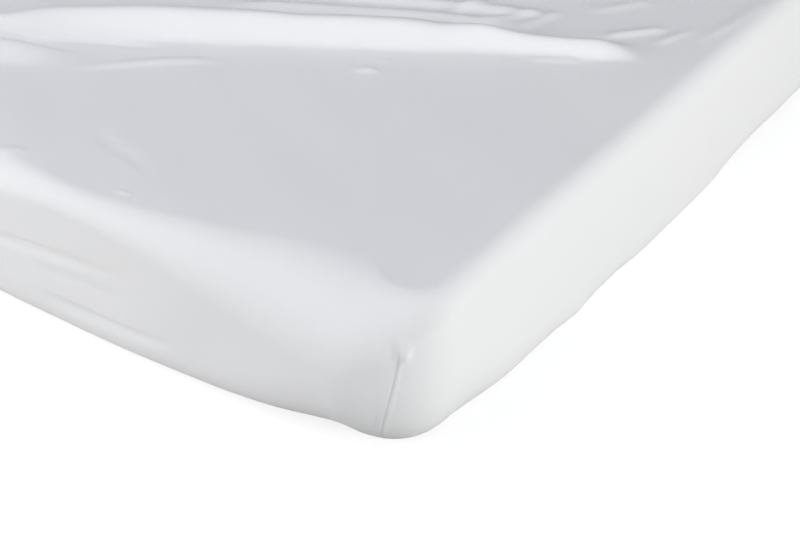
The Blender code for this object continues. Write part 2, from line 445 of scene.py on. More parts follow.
# ---- the soft block that the cloth lies on ---------------------------------------------------
@dataclass(frozen=True)
class SoftBlock:
    """A soft-edged box whose vertical corners are round in plan.

    Attributes:
        half_x, half_y: half its width and length.
        low, high: heights of its underside and its top.
        corner: radius in plan of its vertical corners.
        top_edge, bottom_edge: rounding of its edges along the sides.
        end_edge: rounding of the top edge in the middle of the foot and of the head.
        top_at_corner, bottom_at_corner: the same rounding where a corner meets an end.
        bottom_by_side: rounding of the bottom edge where a corner meets a long side.
        top_reach, bottom_reach: how far from a corner the edges are rounder. The top edge
            stays the same along the long sides.
        turn_edge, turn_at_corner: height at which the turn under begins, along the sides and
            at the corners. The turn is a quarter of an ellipse.
        least_edge: the bottom edge is never sharper than this.
    """

    half_x: float
    half_y: float
    low: float
    high: float
    corner: float = 0.094
    top_edge: float = 0.026
    end_edge: float = 0.021
    bottom_edge: float = 0.0065
    top_at_corner: float = 0.086
    bottom_at_corner: float = 0.060
    bottom_by_side: float = 0.033
    top_reach: float = 0.210
    bottom_reach: float = 0.085
    turn_edge: float = 0.028
    turn_at_corner: float = 0.088
    least_edge: float = 0.002

    SHRINKS = ("half_x", "half_y", "high", "corner", "top_edge", "end_edge", "bottom_edge", "top_at_corner",
               "bottom_at_corner", "bottom_by_side", "turn_edge", "turn_at_corner")

    # Change of the turn's rounding along the long sides, by distance in from the foot.
    TURN = ((0.20, -0.002), (0.27, 0.001), (0.31, 0.001), (0.36, -0.005), (0.41, 0.000), (0.46, 0.000),
            (0.51, -0.005), (0.62, -0.005), (0.68, -0.005), (0.74, -0.002), (0.80, 0.011), (0.86, 0.020),
            (0.93, 0.016), (1.02, 0.019), (1.15, 0.008), (1.30, 0.020), (1.50, 0.008), (1.80, 0.000))

    def drawn_in(self, inset: float) -> SoftBlock:
        """The same block, smaller all round.

        Args:
            inset: how far each face moves in, and by how much each rounding shrinks.

        Returns:
            The smaller block.
        """
        shrunk = {name: getattr(self, name) - inset for name in self.SHRINKS}
        return replace(self, low=self.low + inset, **shrunk)

    def around(self, x: np.ndarray, y: np.ndarray) -> tuple[np.ndarray, np.ndarray, np.ndarray]:
        """Where places of the grid belong on the block.

        The core is the rectangle that joins the centres of the corner arcs. A place outside
        it belongs to the core's nearest point. In a corner, the ratio of its two distances
        from the core becomes an angle, so a square of the grid becomes a quarter disc.

        Args:
            x, y: places on the grid, in plan.

        Returns:
            The core point, the direction outwards, and the share of the way out.
        """
        core_x = np.clip(x, self.corner - self.half_x, self.half_x - self.corner)
        core_y = np.clip(y, self.corner - self.half_y, self.half_y - self.corner)
        out_x, out_y = np.abs(x - core_x), np.abs(y - core_y)
        reach = np.maximum(out_x, out_y)
        far = np.where(reach > 0, reach, 1.0)
        turn = np.where(out_x >= out_y, out_y / far, 2 - out_x / far) * QUARTER / 2
        turn = np.where((out_x <= 0) & (out_y <= 0), 0.0, turn)
        out = np.stack([np.sign(x) * np.cos(turn), np.sign(y) * np.sin(turn)], axis=-1)
        return np.stack([core_x, core_y], axis=-1), out, reach / self.corner

    def edges(self, core: np.ndarray, out: np.ndarray) -> tuple[np.ndarray, np.ndarray, np.ndarray]:
        """Sizes of the rounded edges at places of the outline.

        The bottom's grows towards a corner as 1 / (1 + (distance / reach) squared). The
        top's grows along the ends as a bell, and falls back across the corner's arc.

        Args:
            core, out: core points and directions outwards, as `around` gives them.

        Returns:
            The top edge's radius, and the turn under's reach inwards and its height.
        """
        to_corner_x = self.half_x - self.corner - np.abs(core[..., 0])
        to_corner_y = self.half_y - self.corner - np.abs(core[..., 1])
        to_end = np.arctan2(np.abs(out[..., 1]), np.abs(out[..., 0])) / QUARTER
        top_end = self.end_edge + (self.top_at_corner - self.end_edge) * bell(to_corner_x / self.top_reach)
        top = self.top_edge + (top_end - self.top_edge) * smooth_step(to_end)
        to_corner = np.where(to_end > 0.5, to_corner_x, to_corner_y)
        soft = 1 / (1 + np.square(to_corner / self.bottom_reach))
        at_corner = self.bottom_by_side + (self.bottom_at_corner - self.bottom_by_side) * smooth_step(to_end)
        bottom = self.bottom_edge + (at_corner - self.bottom_edge) * soft
        places, changes = np.array(self.TURN).T
        change = np.interp(core[..., 1] + self.half_y, places, changes) * (to_end == 0)
        turn = self.turn_edge + (self.turn_at_corner - self.turn_edge) * soft
        return top, np.maximum(bottom + change, self.least_edge), np.maximum(turn, bottom + change)

    def hem_under(self, core: np.ndarray, out: np.ndarray, tuck: float, radius: float) -> np.ndarray:
        """Points of the hem's opening under places of the outline.

        The opening is a smaller round-cornered rectangle: the core point shrinks towards the
        middle in proportion, and the opening's corner radius is added outwards.

        Args:
            core, out: core points and directions outwards, as `around` gives them.
            tuck: how far in from the block's sides the opening is.
            radius: its corner radius.

        Returns:
            The points in plan.
        """
        shrink = np.array([self.half_x - tuck - radius, self.half_y - tuck - radius])
        shrink = shrink / np.array([self.half_x - self.corner, self.half_y - self.corner])
        return core * shrink + out * radius


@dataclass(frozen=True)
class RimRows:
    """How many rows of cells the rim has on each stretch on its way down and under."""

    roll: int = 12
    skirt: int = 27
    turn: int = 9
    tuck: int = 3

    @property
    def total(self) -> int:
        """Rows in all."""
        return self.roll + self.skirt + self.turn + self.tuck


@dataclass
class PanelWithRim:
    """A block's surface: a top grid, and rows that go down and under from the grid's rim.

    Attributes:
        block: the soft block that it covers.
        lines_x, lines_y: the grid's lines in plan.
        rows: rows of the rim.
        tuck: how far the last rows reach in under the block.
        hem_corner: radius of the opening that they leave.
        lean: turn of each corner's columns towards the foot on their way down, in radians.
        top, rim: points of the grid, and of the rows round its rim.
        top_normal, rim_normal: the way that each of them faces.
        top_flat, rim_flat: their places in the flat cloth.
        rim_out: each column's direction outwards in plan, at the top of the rim.
    """

    block: SoftBlock
    lines_x: np.ndarray
    lines_y: np.ndarray
    rows: RimRows
    tuck: float = 0.110
    hem_corner: float = 0.060
    lean: float = 0.0

    # Shares of the way down at which the lean begins and is whole.
    LEANS = (0.10, 0.95)

    def __post_init__(self) -> None:
        """Works out the points, directions and flat places of the top and of the rim."""
        self._lay_top()
        self._lay_rim()

    def _lay_top(self) -> None:
        """Lays the top's grid: a place goes out from the core by its share of the way.

        The whole way ends where the top edge's rounding begins.
        """
        x, y = np.meshgrid(self.lines_x, self.lines_y, indexing="ij")
        core, out, share = self.block.around(x, y)
        top, _, _ = self.block.edges(core, out)
        plan = core + out * (share * (self.block.corner - top))[..., None]
        self.top = np.dstack([plan, np.full(x.shape, self.block.high)])
        self.top_normal = np.broadcast_to([0.0, 0.0, 1.0], self.top.shape)
        self.top_flat = plan

    def _lay_rim(self) -> None:
        """Lays the rim: a quarter round, a straight drop, a quarter of an ellipse and a tuck.

        On a quarter round of radius r at angle a, a point has gone out r sin a and down
        r (1 - cos a), and on an ellipse each way has its own radius. Everything is an array
        of rows by places round the rim.
        """
        block, rows = self.block, self.rows
        across, along = rim_loop(len(self.lines_x) - 1, len(self.lines_y) - 1)
        x, y = self.lines_x[across], self.lines_y[along]
        core, out, _ = block.around(x, y)
        top, bottom, turn = block.edges(core, out)
        straight = block.high - top - block.low - turn

        angle, under = QUARTER * shares(rows.roll), QUARTER * shares(rows.turn)
        down, inward = shares(rows.skirt), shares(rows.tuck)
        skirt, tucked = np.ones((rows.skirt, len(x))), np.ones((rows.tuck, len(x)))
        reach = np.vstack([
            block.corner - top * (1 - np.sin(angle)),
            block.corner * skirt,
            block.corner - bottom * (1 - np.cos(under)),
            (block.corner - bottom) * tucked,
        ])
        height = np.vstack([
            block.high - top * (1 - np.cos(angle)),
            block.high - top - straight * down,
            block.low + turn * (1 - np.sin(under)),
            block.low * tucked,
        ])
        slant = np.hypot(turn * np.cos(under), bottom * np.sin(under))
        roll = np.ones((1, len(x)))
        sideways = np.vstack([np.sin(angle) * roll, skirt, turn * np.cos(under) / slant, 0 * tucked])
        upwards = np.vstack([np.cos(angle) * roll, 0 * skirt, -bottom * np.sin(under) / slant, -tucked])
        to_skirt, of_turn = top * QUARTER, (bottom + turn) / 2
        drop = np.vstack([
            top * angle,
            to_skirt + straight * down,
            to_skirt + straight + of_turn * under,
            to_skirt + straight + of_turn * QUARTER + self.tuck * inward,
        ])

        turned = self._leaned(core, out, height)
        plan = core[None] + turned * reach[..., None]
        if rows.tuck:
            hem = block.hem_under(core, out, self.tuck, self.hem_corner)
            start = plan[-rows.tuck - 1]
            plan[-rows.tuck :] = start + (hem - start) * inward[..., None]
        self.rim = np.dstack([plan, height])
        self.rim_normal = np.dstack([turned * sideways[..., None], upwards])
        self.rim_flat = core[None] + out[None] * (block.corner - top + drop)[..., None]
        self.rim_out = out

    def _leaned(self, core: np.ndarray, out: np.ndarray, height: np.ndarray) -> np.ndarray:
        """Outward directions of the rows, with the corner columns turned towards the foot.

        The turn grows with the way down and, across a corner, as the sine of twice the
        column's angle, so the straight sides don't move.

        Args:
            core, out: each column's core point and direction outwards.
            height: heights of the rows.

        Returns:
            A direction in plan for each row of each column.
        """
        block = self.block
        way_down = np.clip((block.high - height) / (block.high - block.low), 0, 1)
        angle = np.arctan2(np.abs(out[:, 1]), np.abs(out[:, 0]))
        near = (core[:, 1] < 0) * np.sin(2 * angle)
        top_share, whole_share = self.LEANS
        turned = angle + self.lean * smooth_step((way_down - top_share) / (whole_share - top_share)) * near
        side = np.sign(np.where(out == 0, 1.0, out))
        return np.dstack([side[:, 0] * np.cos(turned), side[:, 1] * np.sin(turned)])


# ---- corner seams ------------------------------------------------------------------------------
@dataclass(frozen=True)
class Pucker:
    """A soft spot where the cloth is raised or pressed in.

    Attributes:
        height: how far it stands off; a dimple is below 0.
        beside, half_width: how far its middle is from the seam, and its spread that way.
        below, half_length: how far its middle is below the seam's start, and its spread.
    """

    height: float
    beside: float
    half_width: float
    below: float
    half_length: float

    def rise(self, beside: np.ndarray, below: np.ndarray) -> np.ndarray:
        """Its height at many places: a bell across times a bell down."""
        across = bell((beside - self.beside) / self.half_width)
        return self.height * across * bell((below - self.below) / self.half_length)


@dataclass(frozen=True)
class CornerSeam:
    """A sewn corner: the long side's panel folds over a groove beside the foot's panel.

    Attributes:
        angle: where the seam lies on the corner's arc, from the long side, in radians.
        starts, fade: height at which the seam begins, and the drop over which it grows.
        lip, lip_width: how far the folded edge stands up, and its width.
        lip_step, lip_fall: widths of its steep side and of its gentle side.
        groove, groove_width: depth and half width of the line beside it.
        puckers: the cloth that gathers where the seam begins.
    """

    angle: float = 0.735
    starts: float = 0.1425
    fade: float = 0.012
    lip: float = 0.0009
    lip_width: float = 0.0012
    lip_step: float = 0.0010
    lip_fall: float = 0.005
    groove: float = 0.0010
    groove_width: float = 0.0007
    puckers: tuple[Pucker, ...] = (
        Pucker(0.0040, beside=0.0050, half_width=0.0055, below=0.0090, half_length=0.0090),
        Pucker(-0.0026, beside=-0.0100, half_width=0.0060, below=0.0040, half_length=0.0110),
    )

    def rise(self, beside: np.ndarray, height: np.ndarray) -> np.ndarray:
        """Height of the seam's relief.

        Beside the seam, the lip is a step up that dies away past its width, and the groove a
        bell just short of it. The puckers are added.

        Args:
            beside: distance from the seam, positive on the long side.
            height: height above the floor, in the same or a broader shape.

        Returns:
            How far the cloth stands off its block.
        """
        below = self.starts - height
        up = smooth_step((beside + 0.4 * self.lip_step) / self.lip_step)
        step = up * (1 - smooth_step((beside - self.lip_width) / self.lip_fall))
        line = bell((beside + self.groove_width) / self.groove_width)
        relief = smooth_step(below / self.fade) * (self.lip * step - self.groove * line)
        return relief + sum(pucker.rise(beside, below) for pucker in self.puckers)


# ---- shader helpers ------------------------------------------------------------------------------
# Height of a column of loops where a loop is middling, and how much a loop adds or takes.
COLUMN_SHARE = 0.5
LOOP_SHARE = 0.175

# Spots of yarn and of fuzz to a metre, and the part of a broad noise that is spread over the tones.
YARN_SCALE = 260.0
FUZZ_SCALE = 900.0
TONE_SPREAD = (0.32, 0.68)


class Graph:
    """Adds nodes to a node tree, with their inputs set or linked by name."""

    def __init__(self, tree: bpy.types.NodeTree) -> None:
        """Keeps the tree."""
        self.tree = tree

    def add(
        self, kind: str, inputs: dict[str | int, object] | None = None, **settings: object
    ) -> bpy.types.Node:
        """Adds a node.

        Args:
            kind: its type's name.
            inputs: a value, or another node's output, for each named or numbered input.
            settings: properties of the node itself.

        Returns:
            The new node.
        """
        node = self.tree.nodes.new(kind)
        for key, value in settings.items():
            setattr(node, key, value)
        for key, value in (inputs or {}).items():
            if isinstance(value, bpy.types.NodeSocket):
                self.tree.links.new(value, node.inputs[key])
            else:
                node.inputs[key].default_value = value
        return node

    def math(self, operation: str, *values: object) -> bpy.types.NodeSocket:
        """Output of a Math node on one, two or three values."""
        return self.add("ShaderNodeMath", dict(enumerate(values)), operation=operation).outputs[0]

    def noise(self, place: bpy.types.NodeSocket, scale: object, detail: float) -> bpy.types.Node:
        """A Noise Texture node at a place."""
        return self.add("ShaderNodeTexNoise", {"Vector": place, "Scale": scale, "Detail": detail})


def new_group(
    name: str, inputs: dict[str, float | None], outputs: tuple[str, ...]
) -> tuple[Graph, dict, dict]:
    """A shader node group with named sockets.

    Args:
        name: the group's name.
        inputs: each input's default value, or None for a vector.
        outputs: the names of its outputs, all of them values.

    Returns:
        The group's graph, the outputs of its input node, and the inputs of its output node.
    """
    tree = bpy.data.node_groups.new(name, "ShaderNodeTree")
    for key, value in inputs.items():
        kind = "NodeSocketVector" if value is None else "NodeSocketFloat"
        socket = tree.interface.new_socket(name=key, in_out="INPUT", socket_type=kind)
        if value is not None:
            socket.default_value = value
    for key in outputs:
        tree.interface.new_socket(name=key, in_out="OUTPUT", socket_type="NodeSocketFloat")
    start, end = tree.nodes.new("NodeGroupInput"), tree.nodes.new("NodeGroupOutput")
    return Graph(tree), {s.name: s for s in start.outputs}, {s.name: s for s in end.inputs}


def loop_structure_group() -> bpy.types.NodeTree:
    """Relief of a fine cloth: columns of loops, each leaning into a V.

    Across, the columns are the absolute sine of the place over their pitch. Along, the loops
    are a sine of the place over their pitch, shifted by the column's height so that they lean.
    A noise of the yarn's unevenness is added.

    Returns:
        The group, with a height and the fuzz of the fibres.
    """
    names = {"Vector": None, "Column pitch": 0.001, "Loop pitch": 0.0008, "Lean": 2.2, "Unevenness": 0.4}
    graph, given, result = new_group("loop structure", names, ("Height", "Fuzz"))
    place = graph.add("ShaderNodeSeparateXYZ", {"Vector": given["Vector"]})
    columns = graph.math("DIVIDE", place.outputs["X"], given["Column pitch"])
    columns = graph.math("ABSOLUTE", graph.math("SINE", graph.math("MULTIPLY", columns, float(np.pi))))
    loops = graph.math("DIVIDE", place.outputs["Y"], given["Loop pitch"])
    loops = graph.math("MULTIPLY", loops, float(2 * np.pi))
    loops = graph.math("SINE", graph.math("ADD", loops, graph.math("MULTIPLY", columns, given["Lean"])))
    relief = graph.math("MULTIPLY", columns, graph.math("MULTIPLY_ADD", loops, LOOP_SHARE, COLUMN_SHARE))
    yarn = graph.noise(given["Vector"], YARN_SCALE, 3.0)
    uneven = graph.math("MULTIPLY", yarn.outputs["Fac"], given["Unevenness"])
    graph.tree.links.new(graph.math("ADD", relief, uneven), result["Height"])
    fuzz = graph.noise(given["Vector"], FUZZ_SCALE, 2.0)
    graph.tree.links.new(fuzz.outputs["Fac"], result["Fuzz"])
    return graph.tree


def slow_tone_group() -> bpy.types.NodeTree:
    """Slow change of tone over a cloth: a broad noise, and a faint one at a hand's width.

    The broad noise is spread about its middle, and the two are mixed by the hand's share.

    Returns:
        The group, with a tone from 0 to 1.
    """
    names = {"Vector": None, "Broad": 1.6, "Hand": 9.0, "Hand share": 0.3}
    graph, given, result = new_group("slow tone", names, ("Tone",))
    broad = graph.noise(given["Vector"], given["Broad"], 1.0)
    hand = graph.noise(given["Vector"], given["Hand"], 2.0)
    low, high = TONE_SPREAD
    spread = graph.add(
        "ShaderNodeMapRange", {"Value": broad.outputs["Fac"], "From Min": low, "From Max": high}
    )
    mixed = graph.add(
        "ShaderNodeMix",
        {"Factor": given["Hand share"], "A": spread.outputs["Result"], "B": hand.outputs["Fac"]},
    )
    graph.tree.links.new(mixed.outputs["Result"], result["Tone"])
    return graph.tree


@dataclass(frozen=True)
class ClothFinish:
    """A matt cloth.

    Attributes:
        name: the material's name.
        light, shaded: its two close tones.
        roughness: its middle roughness.
        sheen: weight of the soft light that its fibres catch at a slant.
        column_pitch, loop_pitch, lean: its structure.
        relief: depth of that structure.
        uneven: how uneven the yarn is.
        fuzz: how much its fibres vary the roughness.
        sheen_roughness, specular: spread of the sheen, and strength of plain reflections.
    """

    name: str
    light: tuple[float, float, float]
    shaded: tuple[float, float, float]
    roughness: float
    sheen: float
    column_pitch: float
    loop_pitch: float
    lean: float
    relief: float
    uneven: float
    fuzz: float = 0.12
    sheen_roughness: float = 0.5
    specular: float = 0.25

    def material(self, structure: bpy.types.NodeTree, tone: bpy.types.NodeTree) -> bpy.types.Material:
        """Builds the material.

        Args:
            structure: the group that gives the cloth's relief.
            tone: the group that gives its slow change of tone.

        Returns:
            A Principled material that reads the cloth's UV map and Object coordinates.
        """
        made = bpy.data.materials.new(self.name)
        made.use_nodes = True
        graph = Graph(made.node_tree)
        shader = made.node_tree.nodes["Principled BSDF"]
        shader.inputs["Sheen Weight"].default_value = self.sheen
        shader.inputs["Sheen Roughness"].default_value = self.sheen_roughness
        shader.inputs["Specular IOR Level"].default_value = self.specular
        flat = graph.add("ShaderNodeUVMap", uv_map=CLOTH_MAP).outputs["UV"]
        place = graph.add("ShaderNodeTexCoord").outputs["Object"]
        slow = graph.add("ShaderNodeGroup", {}, node_tree=tone)
        made.node_tree.links.new(place, slow.inputs["Vector"])
        knit = graph.add("ShaderNodeGroup", {}, node_tree=structure)
        made.node_tree.links.new(flat, knit.inputs["Vector"])
        knit.inputs["Column pitch"].default_value = self.column_pitch
        knit.inputs["Loop pitch"].default_value = self.loop_pitch
        knit.inputs["Lean"].default_value = self.lean
        knit.inputs["Unevenness"].default_value = self.uneven

        # A Mix node's colours are its inputs 6 and 7 and its output 2.
        tones = {"Factor": slow.outputs["Tone"], 6: (*self.shaded, 1.0), 7: (*self.light, 1.0)}
        colour = graph.add("ShaderNodeMix", tones, data_type="RGBA")
        made.node_tree.links.new(colour.outputs[2], shader.inputs["Base Color"])
        rough = graph.math("MULTIPLY_ADD", knit.outputs["Fuzz"], self.fuzz, self.roughness - self.fuzz / 2)
        made.node_tree.links.new(rough, shader.inputs["Roughness"])
        relief = {"Height": knit.outputs["Height"], "Distance": self.relief, "Strength": 1.0}
        bump = graph.add("ShaderNodeBump", relief)
        made.node_tree.links.new(bump.outputs["Normal"], shader.inputs["Normal"])
        return made


JERSEY = ClothFinish(
    name="white jersey",
    light=(0.865, 0.872, 0.880),
    shaded=(0.850, 0.860, 0.876),
    roughness=0.86,
    sheen=0.10,
    column_pitch=0.00095,
    loop_pitch=0.00080,
    lean=2.2,
    relief=0.00010,
    uneven=0.5,
)
COVER = ClothFinish(
    name="woven mattress cover",
    light=(0.810, 0.800, 0.770),
    shaded=(0.770, 0.760, 0.730),
    roughness=0.90,
    sheen=0.05,
    column_pitch=0.00130,
    loop_pitch=0.00130,
    lean=0.0,
    relief=0.00016,
    uneven=0.8,
)


# ---- the two pieces ---------------------------------------------------------------------------
@dataclass(frozen=True)
class Gathers:
    """Small waves along the hem, where it is drawn in.

    Attributes:
        height: half the height of a wave at the hem's edge.
        pitch: their length.
        drift, drift_pitch: how far their phase wanders, and over what length.
    """

    height: float = 0.0007
    pitch: float = 0.047
    drift: float = 1.3
    drift_pitch: float = 0.31

    def lift(self, along: np.ndarray, inward: np.ndarray) -> np.ndarray:
        """Height of the waves: a sine along the hem times the square of the way to its edge.

        Args:
            along: distance along the hem.
            inward: share of the way from the turn under to the hem's edge, as a column.

        Returns:
            The height of each row's places.
        """
        phase = 2 * np.pi * along / self.pitch
        wave = 1 + np.sin(phase + self.drift * np.sin(2 * np.pi * along / self.drift_pitch))
        return self.height * wave * np.square(inward)


@dataclass
class FittedSheet:
    """The sheet: a top panel, skirts that turn down and under, and an open tucked hem.

    Attributes:
        block: the outer form that the cloth is stretched over.
        seam: the relief of its corner seams.
        gathers: the waves of its hem.
        cloth: thickness.
        tuck: how far the hem reaches in under the mattress.
        hem_corner: radius of the hem's opening at its corners.
        lean: turn of the corner seams towards the foot, in radians.
        coarser: the inner face has one cell for this many of the outer face's, each way.
        slack: height of the cloth's own slow unevenness.
        shoulder, shoulder_slope: width of the top's gentle fall towards its edges, and the
            slope it ends at.
    """

    block: SoftBlock
    seam: CornerSeam = CornerSeam()
    gathers: Gathers = Gathers()
    cloth: float = 0.002
    tuck: float = 0.110
    hem_corner: float = 0.060
    lean: float = 0.23
    coarser: int = 3
    slack: float = 0.0006
    shoulder: float = 0.170
    shoulder_slope: float = 0.050

    # How squarely a place has to face as a panel does, for its folds to begin and to be whole.
    FACING = (0.25, 0.80)

    # Upward part of a place's facing where the cloth lies on the floor, and where it is free.
    OFF_FLOOR = (-0.95, -0.35)

    # Cells of the top, each way; every count is a multiple of coarser. Along its length they
    # are given as (place in from the foot, cells up to it), and are finest across the folds.
    CELLS_ACROSS = 120
    CELLS_ALONG = ((0.145, 6), (0.735, 150), (0.950, 24))
    CELLS_REST = 36
    NEAR_CORNER = Closing(27, 0.22)
    FAR_CORNER = Closing(18, 0.35)

    def build(self) -> bpy.types.Object:
        """Makes the sheet as one closed mesh of two faces joined at the hem.

        Returns:
            The finished piece.
        """
        surface = self._surface()
        top_folds = self._relief(surface.top, surface.top_normal)
        rim_folds = self._relief(surface.rim, surface.rim_normal)
        gathers = self._gathers(surface)
        outer_top = surface.top + surface.top_normal * top_folds[..., None]
        outer_rim = surface.rim + surface.rim_normal * (rim_folds + self._seams(surface))[..., None]
        outer_rim[..., 2] += gathers

        skip = self.coarser
        few_top = slice(None, None, skip), slice(None, None, skip)
        few_rim = slice(skip - 1, None, skip), slice(None, None, skip)
        inner_top = surface.top[few_top].copy()
        inner_top[..., 2] += lie_under(top_folds, skip, self.cloth)
        depth = rim_folds[few_rim] - self.cloth
        inner_rim = surface.rim[few_rim] + surface.rim_normal[few_rim] * depth[..., None]
        inner_rim[..., 2] += gathers[few_rim]

        cells = len(surface.lines_x) - 1, len(surface.lines_y) - 1
        grid, rings = numbered(*cells, surface.rows.total, 0)
        few = cells[0] // skip, cells[1] // skip
        inner_grid, inner_rings = numbered(*few, surface.rows.total // skip, int(rings.max()) + 1)
        faces = [grid_quads(grid), ring_quads(rings)]
        faces += [quads[:, ::-1] for quads in (grid_quads(inner_grid), ring_quads(inner_rings))]
        points = [outer_top, outer_rim, inner_top, inner_rim]
        flat = [surface.top_flat, surface.rim_flat, surface.top_flat[few_top], surface.rim_flat[few_rim]]
        return mesh_object(
            "fitted_sheet_cloth",
            np.vstack([part.reshape(-1, 3) for part in points]),
            np.vstack(faces).tolist() + self._hem_strip(rings[-1], inner_rings[-1]).tolist(),
            np.vstack([part.reshape(-1, 2) for part in flat]),
        )

    def dress(self, piece: bpy.types.Object, material: bpy.types.Material) -> None:
        """Gives the sheet its cloth, hangs it under the root body and hides the frame's own fitted_sheet
        part.

        Args:
            piece: the sheet.
            material: its jersey.
        """
        piece.data.materials.append(material)
        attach(piece, BODY)
        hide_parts("fitted_sheet")

    def _surface(self) -> PanelWithRim:
        """Lays out the sheet's grid. Its finest lines cross the folds and the near corner.

        Returns:
            The sheet's surface, before its folds.
        """
        block, near, far = self.block, self.NEAR_CORNER, self.FAR_CORNER
        core_x, core_y = block.half_x - block.corner, block.half_y - block.corner
        stops = [(place - block.half_y, cells) for place, cells in self.CELLS_ALONG]
        lines_x = np.concatenate([
            -far.lines(core_x, block.half_x)[::-1],
            np.linspace(-core_x, core_x, self.CELLS_ACROSS + 1),
            near.lines(core_x, block.half_x),
        ])
        lines_y = np.concatenate([
            -near.lines(core_y, block.half_y)[::-1],
            graded_lines(((-core_y, 0), *stops, (core_y, self.CELLS_REST))),
            far.lines(core_y, block.half_y),
        ])
        return PanelWithRim(block, lines_x, lines_y, RimRows(), self.tuck, self.hem_corner, self.lean)

    def _relief(self, points: np.ndarray, normals: np.ndarray) -> np.ndarray:
        """Height of the folds, the shoulder and the slow unevenness together.

        Args:
            points: places on the block.
            normals: the way each of them faces.

        Returns:
            How far the cloth stands off the block at each place.
        """
        places, facing = points.reshape(-1, 3), normals.reshape(-1, 3)
        height = self._folds(places, facing) - self._shoulder_drop(places, facing)
        lies, free = self.OFF_FLOOR
        off_floor = smooth_step((facing[:, 2] - lies) / (free - lies))
        return (height + self.slack * slow_waves(places) * off_floor).reshape(points.shape[:-1])

    def _folds(self, places: np.ndarray, facing: np.ndarray) -> np.ndarray:
        """Sum of all folds, each weighted by how squarely a place faces as its panel does.

        Args:
            places: places on the block, one row each.
            facing: the way each of them faces.

        Returns:
            The folds' height at each place.
        """
        from_side, from_foot = self.block.half_x - places[:, 0], places[:, 1] + self.block.half_y
        panels = {
            Panel.TOP: (np.stack([from_side, from_foot], axis=1), facing[:, 2]),
            Panel.FOOT: (np.stack([from_side, places[:, 2]], axis=1), -facing[:, 1]),
        }
        begins, whole = self.FACING
        height = np.zeros(len(places))
        for fold in TOP_FOLDS + FOOT_FOLDS:
            where, square = panels[fold.panel]
            height += fold.rise(where) * smooth_step((square - begins) / (whole - begins))
        return height

    def _shoulder_drop(self, places: np.ndarray, facing: np.ndarray) -> np.ndarray:
        """The top's fall towards its edges: the square of the way across the shoulder.

        At a corner, what two edges leave of the level is multiplied.

        Args:
            places: places on the block, one row each.
            facing: the way each of them faces.

        Returns:
            How far each place lies below the block's level top.
        """
        half = np.array([self.block.half_x, self.block.half_y])
        inward = np.concatenate([half - places[:, :2], half + places[:, :2]], axis=1)
        level = np.prod(1 - np.square(np.clip(1 - inward / self.shoulder, 0, 1)), axis=1)
        return (1 - level) * self.shoulder * self.shoulder_slope / 2 * np.clip(facing[:, 2], 0, 1)

    def _seams(self, surface: PanelWithRim) -> np.ndarray:
        """Relief of the corner seams over the rim, fading out as the cloth turns under.

        Args:
            surface: the sheet's surface.

        Returns:
            The relief, by rows of the rim.
        """
        angle = np.arctan2(np.abs(surface.rim_out[:, 1]), np.abs(surface.rim_out[:, 0]))
        beside = self.block.corner * (self.seam.angle - angle)
        relief = self.seam.rise(beside[None], surface.rim[..., 2])
        return relief * smooth_step(1 + surface.rim_normal[..., 2])

    def _gathers(self, surface: PanelWithRim) -> np.ndarray:
        """Lift of the rim's tucked rows, by distance along the first row of the skirt.

        Args:
            surface: the sheet's surface.

        Returns:
            The lift, by rows of the rim.
        """
        line = surface.rim[surface.rows.roll, :, :2]
        steps = np.diff(line, axis=0, prepend=line[-1:])
        along = np.cumsum(np.linalg.norm(steps, axis=1))
        inward = np.zeros((surface.rows.total, 1))
        inward[-surface.rows.tuck :] = shares(surface.rows.tuck)
        return self.gathers.lift(along, inward)

    def _hem_strip(self, outer: np.ndarray, inner: np.ndarray) -> np.ndarray:
        """Faces that join the two layers at the hem, with several outer points to two inner ones.

        Args:
            outer, inner: vertex numbers of the two layers' last rings.

        Returns:
            Vertex numbers of each face.
        """
        ahead = np.roll(outer, -self.coarser)[:: self.coarser]
        between = [outer[k :: self.coarser] for k in range(self.coarser - 1, -1, -1)]
        return np.stack([ahead, *between, inner, np.roll(inner, -1)], axis=1)


def lie_under(heights: np.ndarray, skip: int, gap: float) -> np.ndarray:
    """Heights on a coarser grid whose surface stays under a fine one.

    Each coarse height is the lowest fine height in the four coarse cells round it, less the
    gap, so nowhere in a cell does the coarse surface come above the fine one.

    Args:
        heights: the fine grid's heights.
        skip: fine cells to a coarse one, each way.
        gap: least distance between the two surfaces.

    Returns:
        The coarser grid's heights.
    """
    cells = np.lib.stride_tricks.sliding_window_view(heights, (skip + 1, skip + 1))[::skip, ::skip]
    around = np.pad(cells.min(axis=(2, 3)), 1, mode="edge")
    return np.min([around[:-1, :-1], around[1:, :-1], around[:-1, 1:], around[1:, 1:]], axis=0) - gap


def slow_waves(
    points: np.ndarray, shortest: float = 0.10, longest: float = 0.34, count: int = 14, seed: int = 11
) -> np.ndarray:
    """Slow unevenness: a sum of sine waves through space, in random directions.

    Wavelengths run from a hand's width to a forearm's. The sum is scaled to about 1 high.

    Args:
        points: places, one row each.
        shortest, longest: limits of the wavelengths.
        count: how many waves.
        seed: the random numbers' seed.

    Returns:
        The height at each place.
    """
    draw = np.random.default_rng(seed)
    direction = draw.normal(size=(count, 3))
    direction /= np.linalg.norm(direction, axis=1, keepdims=True)
    waves = direction * (2 * np.pi / draw.uniform(shortest, longest, size=(count, 1)))
    phase = draw.uniform(0, 2 * np.pi, size=count)
    return np.sin(points @ waves.T + phase).sum(axis=1) / np.sqrt(count)


